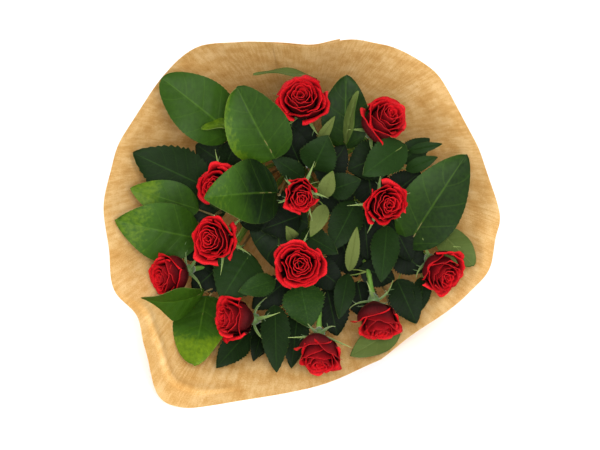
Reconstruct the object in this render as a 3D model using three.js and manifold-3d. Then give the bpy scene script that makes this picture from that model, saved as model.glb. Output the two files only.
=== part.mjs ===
// A bunch of twelve red roses with rose leaves and salal sprigs, held by a rubber band and rolled in a cone
// of brown kraft paper. The bunch lies on a flat surface: +Z is up, the mouth of the cone faces -Y and the
// cut stems point to +Y. All sizes are in millimetres.
//
// Most pieces are placed in the bunch's own axes, which start at the middle of the rubber band:
//   u  to the right, across the face of the bunch
//   v  up the face of the bunch
//   w  straight out of the face
import * as THREE from 'three';
import { mergeVertices } from 'three/addons/utils/BufferGeometryUtils.js';
import Module from 'manifold-3d';

const wasm = await Module();
wasm.setup();

// ---- driving dimensions ----

const TIE_HEIGHT = 60;          // middle of the rubber band above the surface
const FACE_LEAN = 30;           // degrees that the face of the bunch leans back from upright
const FACE_CENTRE = [0, -77, 300];

const STEM_PITCH = 6;           // distance between neighbouring stems in the rubber band
const STEM_BEHIND = 132;        // length of stem behind the rubber band
const STEM_SPLAY = 1.55;        // spread of the cut ends, as a multiple of the spread in the rubber band
const STEM_STRAIGHT = 16;       // stems run straight this far on each side of the rubber band
const STEM_TOP_STRAIGHT = 32;   // and this far below their tops
const ROSE_STEM_RADIUS = 2.3;
const SALAL_STEM_RADIUS = 1.7;
const STALK_RADIUS = 1;         // stalk of a leaf
const STALK_SAG = 3;            // how far its middle hangs below a straight line

const BLOOM_HEIGHT = 1.85;      // of a bloom, as a multiple of its radius
const BLOOM_LOBES = 5;          // soft lobes round a bloom, each standing out by a share of its radius
const BLOOM_LOBE = 0.05;
const HIP_RADIUS = 5.5;
const HIP_HEIGHT = 9;
const SEPALS = 5;
const SEPAL_BELOW = 2.2;        // where the sepals grow from the hip, below the bottom of the bloom
const SEPAL_INSIDE = 3.3;       // and how far from its middle
const SEPAL_WIDTH = 6;
const SEPAL_THICKNESS = 1.2;
const SEPAL_LENGTH = 27;
const LEAF_THICKNESS = 0.8;
const LEAF_FULLNESS = 0.75;     // of a leaf's outline: smaller is blunter
const LEAF_END = 0.07;          // half width left at its two ends, as a share of its widest
const LEAF_BOW = 4;             // arch and fold of a leaf that names none
const LEAF_FOLD = 0.15;

const BAND_INNER = 15.2;
const BAND_OUTER = 17;
const BAND_WIDTH = 7;

const PAPER_THICKNESS = 0.8;
const PAPER_NECK = 18.8;        // radius of the paper at the rubber band
const PAPER_BEHIND = 46;        // how far the paper reaches behind the rubber band
const PAPER_WAIST = 0.62;       // pull of the cone's side: smaller for a trumpet, larger for a cup
const PAPER_WAIST_AT = 0.62;    // where along the cone that pull acts
const PAPER_SAG = 22;           // how far the underside of the cone would sag if nothing were beneath it
const PAPER_TAIL_FLARE = 0.12;  // how fast the paper widens behind the rubber band
const PAPER_AROUND = 38;        // facets round the paper
const PAPER_TAIL_ROWS = 2;      // and along it, behind the rubber band
const PAPER_CONE_ROWS = 9;      // and in front of it
const PAPER_LAP = 0.075;        // share of a turn by which the sheet laps over its own edge
const LAP_STEP = 1.7;           // distance between the two layers where they lap
const TAPE_THICKNESS = 0.5;
const TAPE_TURN = 0.24;         // share of a turn that the tape covers
const TAPE_SPAN = [0.012, 0.085];  // where the tape lies, as shares of the way from the neck to the rim

const GAP = 0.4;                // clearance between pieces that touch

// Rim of the paper at the mouth, [u, v, w], clockwise from the lapped edge at the top.
const RIM = [
  [-27, 99, 231], [6, 97, 230], [33, 100, 230], [64, 101, 230], [88, 96, 232], [120, 79, 236], [138, 57, 238],
  [165, 12, 240], [177, -19, 243], [189, -65, 246], [188, -88, 248], [180, -120, 248], [159, -143, 246],
  [117, -176, 236], [77, -207, 239], [19, -227, 274], [-56, -239, 295], [-107, -245, 305],
  [-128, -233, 304], [-141, -191, 298], [-150, -164, 290], [-171, -139, 280], [-178, -101, 270],
  [-185, -54, 258], [-178, -16, 250], [-162, 16, 244], [-132, 64, 238], [-99, 95, 234], [-58, 97, 232],
];

// Roses: place in the rubber band [ring, degrees], middle of the bloom, the way it faces, its radius, and how
// far the sepals are bent back (degrees below square to the bloom's axis).
const ROSES = [
  { slot: [2, 90], middle: [5, 38, 256], faces: [0, 0.25, 0.97], radius: 23, bent: 20 },
  { slot: [2, 30], middle: [76, 20, 254], faces: [0.45, 0.4, 0.8], radius: 22, bent: 0 },
  { slot: [2, 150], middle: [-75, -39, 256], faces: [-0.3, -0.1, 0.95], radius: 19, bent: 5 },
  { slot: [1, 60], middle: [2, -49, 280], faces: [0, -0.2, 0.98], radius: 16, bent: 5 },
  { slot: [1, 0], middle: [79, -58, 268], faces: [0.2, 0, 0.98], radius: 20, bent: 0 },
  { slot: [1, 180], middle: [-77, -92, 268], faces: [-0.25, 0, 0.97], radius: 22, bent: 10 },
  { slot: [0, 0], middle: [-1, -114, 278], faces: [0.05, 0, 1], radius: 22.5, bent: 5 },
  { slot: [2, 210], middle: [-120, -124, 254], faces: [-0.72, -0.15, 0.68], radius: 20.5, bent: 15 },
  { slot: [2, 330], middle: [132, -119, 247], faces: [0.4, -0.4, 0.82], radius: 21, bent: 0 },
  { slot: [1, 240], middle: [-58, -165, 262], faces: [-0.8, 0.1, 0.6], radius: 20.5, bent: 5 },
  { slot: [1, 300], middle: [72, -164, 259], faces: [0.15, -0.82, 0.55], radius: 21, bent: 0 },
  { slot: [2, 270], middle: [19, -194, 286], faces: [0, -0.72, 0.69], radius: 21, bent: 0 },
];

// Salal sprigs: place in the rubber band, end of the woody stem, and leaves from base to tip.
// roll turns a leaf about its length in degrees, bow arches it, and fold raises its two halves by a share of
// the half width.
const SALAL = [
  { slot: [2, 120], end: [-44, -12, 238], leaves: [
    { base: [-65, 10, 240], tip: [-131, 62, 262], width: 58, roll: 5, bow: 7, fold: 0.12 },
    { base: [-24, -14, 254], tip: [-59, 52, 280], width: 60, roll: -8, bow: 6, fold: 0.3 },
    { base: [-58, 16, 254], tip: [-93, 14, 266], width: 24, roll: 62, bow: 3, fold: 0.1 } ] },
  { slot: [1, 120], end: [-20, -48, 236], leaves: [
    { base: [-22, -46, 248], tip: [-89, -52, 284], width: 62, roll: 8, bow: 8, fold: 0.35 },
    { base: [-22, -42, 216], tip: [-20, -122, 220], width: 58 } ] },
  { slot: [2, 180], end: [-84, -68, 222], leaves: [
    { base: [-97, -90, 234], tip: [-175, -72, 262], width: 58, roll: -6, bow: 7, fold: 0.18 },
    { base: [-98, -62, 232], tip: [-162, -42, 252], width: 38, roll: 4, bow: 4, fold: 0.15 },
    { base: [-74, -66, 204], tip: [-112, -42, 206], width: 42 } ] },
  { slot: [2, 240], end: [-82, -138, 232], leaves: [
    { base: [-91, -146, 230], tip: [-100, -208, 276], width: 52, roll: 8, bow: 2, fold: 0.05 },
    { base: [-92, -141, 246], tip: [-150, -146, 270], width: 44, roll: -48, bow: 6, fold: 0.15 } ] },
  { slot: [2, 0], end: [98, -84, 220], leaves: [
    { base: [103, -98, 230], tip: [158, -10, 258], width: 60, roll: -6, bow: 8, fold: 0.2 },
    { base: [136, -84, 228], tip: [166, -116, 248], width: 30, roll: -10, bow: 3, fold: 0.1 } ] },
  { slot: [2, 60], end: [36, 6, 222], leaves: [
    { base: [43, -3, 230], tip: [44, 66, 252], width: 46, roll: 0, bow: 5, fold: 0.15 },
    { base: [16, 64, 236], tip: [-45, 68, 240], width: 24, roll: 70, bow: 4, fold: 0.1 },
    { base: [44, 0, 238], tip: [55, 50, 262], width: 20, roll: -58, bow: 2, fold: 0.1 } ] },
  { slot: [2, 300], end: [84, -142, 214], leaves: [
    { base: [97, -176, 228], tip: [48, -202, 251], width: 28, roll: 10, bow: 0, fold: 0.1 } ] },
];

// Rose leaves: the rose they grow on, the share of its stem at which they join it, and their leaflets.
const ROSE_LEAVES = [
  { rose: 3, at: 0.78, leaflets: [
    { base: [-87, -42, 223], tip: [-160, -8, 247], width: 52 },
    { base: [-72, -18, 218], tip: [-60, 9, 228], width: 24 },
    { base: [-70, -20, 212], tip: [-102, 2, 214], width: 34 } ] },
  { rose: 1, at: 0.82, leaflets: [
    { base: [4, -32, 236], tip: [-27, -12, 252], width: 20 },
    { base: [2, -22, 228], tip: [-18, 22, 242], width: 30 },
    { base: [12, -24, 248], tip: [27, 7, 272], width: 36 },
    { base: [18, 2, 244], tip: [33, 26, 262], width: 10 },
    { base: [-4, -14, 226], tip: [-10, 38, 232], width: 46 } ] },
  { rose: 2, at: 0.84, leaflets: [
    { base: [100, 0, 250], tip: [59, -30, 268], width: 34 },
    { base: [104, -6, 248], tip: [135, 0, 258], width: 10 },
    { base: [102, -24, 242], tip: [131, -12, 254], width: 14 },
    { base: [84, -8, 236], tip: [46, -24, 240], width: 40 },
    { base: [98, -16, 238], tip: [124, 6, 246], width: 24 } ] },
  { rose: 2, at: 0.68, leaflets: [
    { base: [52, -12, 226], tip: [90, -12, 234], width: 26 },
    { base: [66, -22, 226], tip: [70, -62, 232], width: 40 } ] },
  { rose: 4, at: 0.86, leaflets: [
    { base: [22, -50, 254], tip: [31, -26, 266], width: 16 },
    { base: [24, -58, 256], tip: [10, -88, 268], width: 16 },
    { base: [28, -44, 246], tip: [58, -34, 258], width: 26 },
    { base: [20, -36, 234], tip: [44, 0, 240], width: 30 },
    { base: [0, -68, 230], tip: [-38, -82, 238], width: 32 },
    { base: [22, -40, 222], tip: [52, -66, 226], width: 36 } ] },
  { rose: 5, at: 0.86, leaflets: [
    { base: [54, -54, 240], tip: [29, -101, 260], width: 32 },
    { base: [84, -78, 236], tip: [77, -131, 260], width: 28 },
    { base: [88, -72, 228], tip: [108, -112, 232], width: 28 },
    { base: [86, -50, 230], tip: [116, -26, 238], width: 30 },
    { base: [62, -62, 226], tip: [66, -112, 230], width: 34 } ] },
  { rose: 7, at: 0.86, leaflets: [
    { base: [2, -84, 244], tip: [36, -104, 266], width: 24 },
    { base: [-6, -90, 246], tip: [-13, -78, 262], width: 12 },
    { base: [8, -112, 236], tip: [42, -138, 242], width: 30 },
    { base: [34, -80, 216], tip: [56, -128, 218], width: 38 } ] },
  { rose: 7, at: 0.78, leaflets: [
    { base: [0, -134, 248], tip: [9, -174, 264], width: 40 },
    { base: [-24, -130, 250], tip: [-58, -140, 268], width: 22 },
    { base: [-12, -130, 230], tip: [-46, -158, 236], width: 30 } ] },
  { rose: 6, at: 0.84, leaflets: [
    { base: [-48, -104, 238], tip: [-75, -148, 254], width: 50 },
    { base: [-56, -78, 228], tip: [-24, -52, 236], width: 32 } ] },
  { rose: 10, at: 0.84, leaflets: [
    { base: [-50, -180, 240], tip: [-79, -211, 269], width: 27 },
    { base: [-37, -180, 240], tip: [-44, -206, 262], width: 16 },
    { base: [-32, -166, 228], tip: [-40, -204, 240], width: 26 } ] },
  { rose: 12, at: 0.8, leaflets: [
    { base: [-24, -154, 246], tip: [-22, -215, 276], width: 28 },
    { base: [-2, -160, 240], tip: [-8, -212, 266], width: 26 },
    { base: [26, -138, 228], tip: [36, -184, 234], width: 36 } ] },
  { rose: 11, at: 0.84, leaflets: [
    { base: [47, -121, 248], tip: [54, -79, 260], width: 13 },
    { base: [46, -124, 244], tip: [37, -166, 260], width: 20 },
    { base: [58, -118, 230], tip: [92, -130, 226], width: 28 },
    { base: [56, -132, 219], tip: [63, -168, 224], width: 32 } ] },
  { rose: 9, at: 0.84, leaflets: [
    { base: [94, -130, 228], tip: [112, -172, 240], width: 32 },
    { base: [119, -128, 226], tip: [116, -160, 240], width: 18 },
    { base: [92, -100, 220], tip: [122, -122, 226], width: 34 } ] },
  { rose: 8, at: 0.8, leaflets: [
    { base: [-72, -112, 222], tip: [-104, -140, 234], width: 38 },
    { base: [-80, -98, 220], tip: [-128, -98, 228], width: 30 } ] },
];

// ---- directions ----

const vec = (p) => new THREE.Vector3(...p);
const radians = THREE.MathUtils.degToRad;
const AXIS = vec(FACE_CENTRE).normalize();                          // along the bundle, towards the mouth
const ACROSS = vec([1, 0, 0]);
const UP = new THREE.Vector3().crossVectors(AXIS, ACROSS);          // square to both
const LIFT = vec([0, Math.cos(radians(FACE_LEAN)), Math.sin(radians(FACE_LEAN))]);  // straight up, in u, v, w

const height = (p) => TIE_HEIGHT + p.dot(LIFT);

// ---- closed solids ----

function solidFrom(geometry) {
  const loose = geometry.index ? geometry.toNonIndexed() : geometry;
  const bare = new THREE.BufferGeometry().setAttribute('position', loose.getAttribute('position'));
  const merged = mergeVertices(bare, 1e-3);
  return new wasm.Manifold(new wasm.Mesh({
    numProp: 3,
    vertProperties: merged.attributes.position.array,
    triVerts: new Uint32Array(merged.index.array),
  }));
}

function geometryFrom(solid) {
  const mesh = solid.getMesh();
  const geometry = new THREE.BufferGeometry();
  geometry.setAttribute('position', new THREE.BufferAttribute(mesh.vertProperties, mesh.numProp));
  geometry.setIndex(new THREE.BufferAttribute(mesh.triVerts, 1));
  geometry.computeVertexNormals();
  return geometry;
}

// The solid with every corner moved out along its normal.
function grown(solid, distance) {
  const geometry = geometryFrom(solid);
  const position = geometry.getAttribute('position');
  const normal = geometry.getAttribute('normal');
  for (let i = 0; i < position.count; i++) {
    position.setXYZ(i,
      position.getX(i) + distance * normal.getX(i),
      position.getY(i) + distance * normal.getY(i),
      position.getZ(i) + distance * normal.getZ(i));
  }
  return new wasm.Manifold(new wasm.Mesh({
    numProp: 3, vertProperties: position.array, triVerts: geometry.index.array,
  }));
}

// Moves every corner of a geometry to place(corner).
function reshape(geometry, place) {
  const position = geometry.getAttribute('position');
  const corner = new THREE.Vector3();
  for (let i = 0; i < position.count; i++) {
    corner.fromBufferAttribute(position, i);
    const moved = place(corner);
    position.setXYZ(i, moved.x, moved.y, moved.z);
  }
  return geometry;
}

// A tube of constant radius along a curve, closed at both ends.
function tube(points, radius, steps, sides) {
  const ring = Array.from({ length: sides }, (_, i) => {
    const angle = (2 * Math.PI * i) / sides;
    return new THREE.Vector2(radius * Math.cos(angle), radius * Math.sin(angle));
  });
  const extrudePath = new THREE.CatmullRomCurve3(points, false, 'centripetal');
  return new THREE.ExtrudeGeometry(new THREE.Shape(ring), { steps, bevelEnabled: false, extrudePath });
}

// ---- the group and its pieces ----

const bunch = new THREE.Group();
bunch.position.z = TIE_HEIGHT;
bunch.rotation.x = radians(90 - FACE_LEAN);

const placed = [];

// Adds a piece, trimmed clear of the pieces that are already there, and keeps its largest body.
function addPiece(name, solid, material) {
  let trimmed = solid;
  for (const other of placed) {
    if (boxesMeet(solid, other)) trimmed = trimmed.subtract(other);
  }
  const whole = trimmed.decompose().sort((a, b) => b.volume() - a.volume())[0];
  const mesh = new THREE.Mesh(geometryFrom(whole), material);
  mesh.name = name;
  bunch.add(mesh);
  placed.push(grown(whole, GAP));
}

function boxesMeet(a, b) {
  const boxA = a.boundingBox();
  const boxB = b.boundingBox();
  return [0, 1, 2].every((i) => boxA.min[i] < boxB.max[i] && boxB.min[i] < boxA.max[i]);
}

const finish = (color, roughness) => new THREE.MeshStandardMaterial({ color, roughness, metalness: 0 });
const PETAL = finish(0xb3111d, 0.6);
const SEPAL = finish(0x7d9447, 0.6);
const STEM = finish(0x5d7a34, 0.6);
const SALAL_LEAF = finish(0x47802c, 0.4);
const ROSE_LEAF = finish(0x28502a, 0.55);
const KRAFT = finish(0xcfa066, 0.85);
const RUBBER = finish(0xb08a4a, 0.7);
const TAPE = finish(0xd9cdb0, 0.25);

// ---- stems ----

// Where a stem passes through the rubber band, in a hexagonal packing of 1 + 6 + 12 stems.
function slotOffset([ring, degrees]) {
  const corner = degrees % 60 === 0;
  const distance = ring === 2 ? STEM_PITCH * (corner ? 2 : Math.sqrt(3)) : STEM_PITCH * ring;
  return ACROSS.clone().multiplyScalar(distance * Math.cos(radians(degrees)))
    .addScaledVector(UP, distance * Math.sin(radians(degrees)));
}

// Points of a stem from its cut end, through the rubber band, to its top, where it runs along topWay.
function stemPoints(slot, top, topWay) {
  const offset = slotOffset(slot);
  const cutEnd = offset.clone().multiplyScalar(STEM_SPLAY).addScaledVector(AXIS, -STEM_BEHIND);
  const behind = offset.clone().addScaledVector(AXIS, -STEM_STRAIGHT);
  const ahead = offset.clone().addScaledVector(AXIS, STEM_STRAIGHT);
  const under = top.clone().addScaledVector(topWay, -STEM_TOP_STRAIGHT);
  const half = ahead.clone().lerp(under, 0.5);
  return [cutEnd, behind, ahead, half, under, top];
}

// ---- roses ----

// A frame at the bottom of a bloom, whose +Y runs along the way that the bloom faces.
function bloomFrame(rose) {
  const faces = vec(rose.faces).normalize();
  const turn = new THREE.Quaternion().setFromUnitVectors(new THREE.Vector3(0, 1, 0), faces);
  const bottom = vec(rose.middle).addScaledVector(faces, -rose.radius * BLOOM_HEIGHT / 2);
  return { faces, bottom, matrix: new THREE.Matrix4().compose(bottom, turn, new THREE.Vector3(1, 1, 1)) };
}

// A bloom: a cup whose top is dished in rings, like rolled petals, with five soft lobes round its side.
function bloomGeometry(rose) {
  const tall = rose.radius * BLOOM_HEIGHT;
  const profile = [
    [0, 0], [0.3, 0.02], [0.72, 0.2], [0.98, 0.5], [1, 0.74], [0.86, 0.92], [0.7, 0.86], [0.5, 1],
    [0.25, 0.88], [0, 0.86],
  ].map(([r, y]) => new THREE.Vector2(r * rose.radius, y * tall));
  const lathe = new THREE.LatheGeometry(profile, 12);
  return reshape(lathe, (p) => {
    const angle = Math.atan2(p.z, p.x);
    const lobe = 1 + BLOOM_LOBE * Math.cos(BLOOM_LOBES * angle + (4 * p.y) / tall);
    return new THREE.Vector3(p.x * lobe, p.y, p.z * lobe);
  });
}

function hipGeometry() {
  const profile = [[0, -HIP_HEIGHT], [0.5, -HIP_HEIGHT], [1, -0.55 * HIP_HEIGHT], [0.85, -GAP], [0, -GAP]]
    .map(([r, y]) => new THREE.Vector2(r * HIP_RADIUS, y));
  return new THREE.LatheGeometry(profile, 6);
}

ROSES.forEach((rose, index) => {
  const name = `rose_${String(index + 1).padStart(2, '0')}`;
  const { faces, bottom, matrix } = bloomFrame(rose);
  const bloom = bloomGeometry(rose).applyMatrix4(matrix);

  let calyx = solidFrom(hipGeometry().applyMatrix4(matrix));
  for (let i = 0; i < SEPALS; i++) {
    const turn = radians((360 / SEPALS) * i + 25 * index);
    const out = new THREE.Vector3(Math.cos(turn), 0, Math.sin(turn));
    const droop = radians(rose.bent);
    const base = out.clone().multiplyScalar(SEPAL_INSIDE).setY(-SEPAL_BELOW);
    const tip = out.clone().multiplyScalar(SEPAL_LENGTH * Math.cos(droop))
      .setY(-SEPAL_BELOW - SEPAL_LENGTH * Math.sin(droop));
    const sepal = { base: base.toArray(), tip: tip.toArray(), width: SEPAL_WIDTH, bow: 2, fold: 0 };
    const blade = bladeGeometry(sepal, 2, 1, new THREE.Vector3(0, 1, 0), SEPAL_THICKNESS);
    calyx = calyx.add(solidFrom(blade.applyMatrix4(matrix)));
  }

  const top = bottom.clone().addScaledVector(faces, -HIP_HEIGHT - GAP);
  rose.stem = stemPoints(rose.slot, top, faces);
  addPiece(`${name}_bloom`, solidFrom(bloom), PETAL);
  addPiece(`${name}_calyx`, calyx, SEPAL);
  addPiece(`${name}_stem`, solidFrom(tube(rose.stem, ROSE_STEM_RADIUS, 11, 5)), STEM);
});

// ---- leaves ----

// Share of the half width at share s of the length: widest a little below the middle, with rounded shoulders.
function outline(s) {
  return Math.max(Math.sin(Math.PI * s ** 0.8) ** LEAF_FULLNESS, LEAF_END);
}

// Point of a leaf's mid-surface at share s of its length and share t (-1 to 1) of its width, and its normal.
function leafPoint(leaf, s, t, face) {
  const base = vec(leaf.base);
  const tip = vec(leaf.tip);
  const along = tip.clone().sub(base).normalize();
  const flat = face.clone().addScaledVector(along, -face.dot(along)).normalize();
  const normal = flat.applyAxisAngle(along, radians(leaf.roll ?? 0));
  const side = new THREE.Vector3().crossVectors(along, normal);
  const half = (leaf.width / 2) * outline(s);
  const raised = (leaf.bow ?? LEAF_BOW) * 4 * s * (1 - s) + (leaf.fold ?? LEAF_FOLD) * Math.abs(t) * half;
  const point = base.lerp(tip, s).addScaledVector(side, t * half).addScaledVector(normal, raised);
  return { point, normal };
}

// A leaf blade: a flat box bent on to the leaf's mid-surface.
function bladeGeometry(leaf, lengthSteps, widthSteps, face, thickness) {
  const box = new THREE.BoxGeometry(1, 1, 1, lengthSteps, widthSteps, 1);
  return reshape(box, (p) => {
    const { point, normal } = leafPoint(leaf, p.x + 0.5, -2 * p.y, face);
    return point.addScaledVector(normal, p.z * thickness);
  });
}

const OUT = vec([0, 0, 1]);

// The stalk of a leaf, from a point on its stem to just inside its blade.
function stalk(from, leaf) {
  const inside = leafPoint(leaf, 0.1, 0, OUT).point;
  const sag = from.clone().lerp(inside, 0.5).addScaledVector(OUT, -STALK_SAG);
  return solidFrom(tube([from, sag, inside], STALK_RADIUS, 2, 4));
}

// ---- paper wrap ----

const rimCurve = new THREE.CatmullRomCurve3(RIM.map(vec), true, 'centripetal');

// Point of the paper at share a of a turn (past 1 where it laps) and share s of the way from the rubber band
// (below 0 behind it) to its rim, moved out by the given distance. It never goes below the surface that the
// bunch lies on.
function paperPoint(a, s, outwards) {
  const rim = rimCurve.getPoint(((a % 1) + 1) % 1);
  const reach = rim.dot(AXIS);
  const radial = rim.clone().addScaledVector(AXIS, -reach);
  const way = radial.clone().normalize();
  const point = new THREE.Vector3();
  if (s < 0) {
    point.copy(way).multiplyScalar(PAPER_NECK - PAPER_TAIL_FLARE * s * PAPER_BEHIND)
      .addScaledVector(AXIS, s * PAPER_BEHIND);
  } else {
    const neck = way.clone().multiplyScalar(PAPER_NECK);
    const waist = AXIS.clone().multiplyScalar(PAPER_WAIST_AT * reach)
      .addScaledVector(way, PAPER_WAIST * radial.length());
    point.copy(neck.multiplyScalar((1 - s) ** 2)).addScaledVector(waist, 2 * s * (1 - s))
      .addScaledVector(rim, s * s);
    const facingDown = Math.max(0, -way.dot(LIFT));
    point.addScaledVector(LIFT, -PAPER_SAG * facingDown ** 2 * Math.sin(Math.PI * s ** 0.7));
  }
  point.addScaledVector(way, LAP_STEP * a + outwards);
  const low = (outwards < 0 ? PAPER_THICKNESS : 0) - height(point);
  return low > 0 ? point.addScaledVector(LIFT, low) : point;
}

// The paper: a flat box bent on to the cone, its rows shared between the tail and the cone.
function paperGeometry() {
  const rows = PAPER_TAIL_ROWS + PAPER_CONE_ROWS;
  const box = new THREE.BoxGeometry(1, 1, 1, PAPER_AROUND, rows, 1);
  return reshape(box, (p) => {
    const a = (0.5 - p.x) * (1 + PAPER_LAP);
    const row = (p.y + 0.5) * rows - PAPER_TAIL_ROWS;
    return paperPoint(a, row / (row < 0 ? PAPER_TAIL_ROWS : PAPER_CONE_ROWS), p.z * PAPER_THICKNESS);
  });
}

// The tape: a strip outside the paper's first row, half on the lapping layer and half on the layer below it.
function tapeGeometry() {
  const box = new THREE.BoxGeometry(1, 1, 1, 8, 2, 1);
  return reshape(box, (p) => {
    const a = 1 + PAPER_LAP - p.x * TAPE_TURN;
    const s = TAPE_SPAN[0] + (p.y + 0.5) * (TAPE_SPAN[1] - TAPE_SPAN[0]);
    const layer = a > 1 + PAPER_LAP ? a - 1 : a;
    const out = PAPER_THICKNESS / 2 + TAPE_THICKNESS / 2 + 2 * GAP + p.z * TAPE_THICKNESS;
    return paperPoint(layer, 0, out).lerp(paperPoint(layer, 1 / PAPER_CONE_ROWS, out), s * PAPER_CONE_ROWS);
  });
}

const band = new THREE.LatheGeometry([
  [BAND_INNER, -BAND_WIDTH / 2], [BAND_OUTER, -BAND_WIDTH / 2], [BAND_OUTER, BAND_WIDTH / 2],
  [BAND_INNER, BAND_WIDTH / 2], [BAND_INNER, -BAND_WIDTH / 2],
].map(([r, y]) => new THREE.Vector2(r, y)), 24);
band.applyQuaternion(new THREE.Quaternion().setFromUnitVectors(new THREE.Vector3(0, 1, 0), AXIS));

addPiece('stem_band', solidFrom(band), RUBBER);
addPiece('paper_wrap', solidFrom(paperGeometry()), KRAFT);
addPiece('wrap_tape', solidFrom(tapeGeometry()), TAPE);

// ---- foliage ----

SALAL.forEach((sprig, index) => {
  const end = vec(sprig.end);
  const way = end.clone().sub(slotOffset(sprig.slot)).normalize();
  const points = stemPoints(sprig.slot, end, way);
  let solid = solidFrom(tube(points, SALAL_STEM_RADIUS, 10, 5));
  for (const leaf of sprig.leaves) {
    solid = solid.add(stalk(end.clone().addScaledVector(way, -1), leaf));
    solid = solid.add(solidFrom(bladeGeometry(leaf, 5, 2, OUT, LEAF_THICKNESS)));
  }
  addPiece(`salal_sprig_${index + 1}`, solid, SALAL_LEAF);
});

ROSE_LEAVES.forEach((leaf, index) => {
  const stemCurve = new THREE.CatmullRomCurve3(ROSES[leaf.rose - 1].stem, false, 'centripetal');
  const stem = stemCurve.getPoint(leaf.at);
  const tangent = stemCurve.getTangent(leaf.at);
  let solid = null;
  const way = new THREE.Vector3();
  for (const leaflet of leaf.leaflets) {
    const reach = vec(leaflet.base).sub(stem);
    way.add(reach.addScaledVector(tangent, -reach.dot(tangent)).normalize());
  }
  const from = stem.addScaledVector(way.normalize(), ROSE_STEM_RADIUS + STALK_RADIUS + GAP);
  for (const leaflet of leaf.leaflets) {
    const piece = stalk(from, leaflet).add(solidFrom(bladeGeometry(leaflet, 4, 2, OUT, LEAF_THICKNESS)));
    solid = solid ? solid.add(piece) : piece;
  }
  addPiece(`rose_leaf_${String(index + 1).padStart(2, '0')}`, solid, ROSE_LEAF);
});

// The part's origin is the middle of the bunch's box, on the surface that it lies on.
const part = new THREE.Group();
part.add(bunch);
const middle = new THREE.Box3().setFromObject(part, true).getCenter(new THREE.Vector3());
bunch.position.x -= middle.x;
bunch.position.y -= middle.y;

export default part;
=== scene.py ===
# A bunch of twelve red roses, rose leaves and salal sprigs in a cone of brown kraft paper, lying on its side.
# The sections follow the order in which a florist puts the bunch together, from the rubber band outwards.
import bpy
import numpy as np
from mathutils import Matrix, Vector


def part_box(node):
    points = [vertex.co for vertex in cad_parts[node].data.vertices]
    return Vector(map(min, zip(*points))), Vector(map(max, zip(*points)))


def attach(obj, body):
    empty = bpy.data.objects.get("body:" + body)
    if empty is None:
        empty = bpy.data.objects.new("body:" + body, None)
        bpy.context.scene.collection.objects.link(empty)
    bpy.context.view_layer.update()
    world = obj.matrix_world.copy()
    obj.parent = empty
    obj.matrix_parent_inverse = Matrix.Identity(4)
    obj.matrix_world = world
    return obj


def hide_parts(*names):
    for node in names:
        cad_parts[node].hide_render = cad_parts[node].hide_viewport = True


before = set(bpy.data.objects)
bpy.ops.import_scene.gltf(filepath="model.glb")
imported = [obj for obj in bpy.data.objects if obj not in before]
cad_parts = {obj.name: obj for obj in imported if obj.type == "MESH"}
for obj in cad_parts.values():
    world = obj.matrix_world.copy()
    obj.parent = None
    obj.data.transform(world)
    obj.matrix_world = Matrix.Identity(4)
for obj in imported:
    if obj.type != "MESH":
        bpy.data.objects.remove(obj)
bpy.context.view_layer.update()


# ---- Rubber band ----
# A tan latex band, cut from a moulded tube and doubled round the nineteen stems where they lie side by side.
# It is dull and slightly tacky, and it is the middle of the bunch: every other piece is placed from it.

MM = 0.001
FACE_LEAN = np.radians(30)                 # how far the face of the bunch leans back from upright
band_low, band_high = (np.array(corner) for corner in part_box("stem_band"))
TIE = (band_low + band_high) / 2
BUNCH_AXES = np.array([                    # across, up the face and out of the face, in the frame's axes
    [1, 0, 0],
    [0, np.sin(FACE_LEAN), np.cos(FACE_LEAN)],
    [0, -np.cos(FACE_LEAN), np.sin(FACE_LEAN)],
])
AXIS = np.array([0, -77, 300]) / np.hypot(77, 300)   # along the stems to the middle of the face
ACROSS = np.array([1.0, 0, 0])
UP = np.cross(AXIS, ACROSS)


def unit(v):
    return v / np.maximum(np.linalg.norm(v, axis=-1, keepdims=True), 1e-9)


def srgb(code):
    """A hex sRGB colour as linear red, green, blue and alpha."""
    value = np.array([int(code[i:i + 2], 16) for i in (1, 3, 5)]) / 255
    linear = np.where(value <= 0.04045, value / 12.92, ((value + 0.055) / 1.055) ** 2.4)
    return (*linear.tolist(), 1.0)


def add(tree, kind, inputs=(), stops=(), **settings):
    """Adds a node, sets its properties, gives a colour ramp its stops of place and hex colour, and fills the
    node's inputs with values or with other nodes' outputs."""
    node = tree.nodes.new(kind)
    for name, value in settings.items():
        setattr(node, name, value)
    for number, (place, code) in enumerate(stops):
        elements = node.color_ramp.elements
        element = elements[number] if number < 2 else elements.new(place)
        element.position = place
        element.color = srgb(code)
    for key, value in dict(inputs).items():
        if isinstance(value, bpy.types.NodeSocket):
            tree.links.new(value, node.inputs[key])
        else:
            node.inputs[key].default_value = value
    return node


def material(name, **values):
    """A new material with its Principled shader's own sockets set, and that shader."""
    made = bpy.data.materials.new(name)
    made.use_nodes = True
    shader = made.node_tree.nodes["Principled BSDF"]
    for key, value in values.items():
        shader.inputs[key.replace("_", " ")].default_value = value
    return made, made.node_tree, shader


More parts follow.
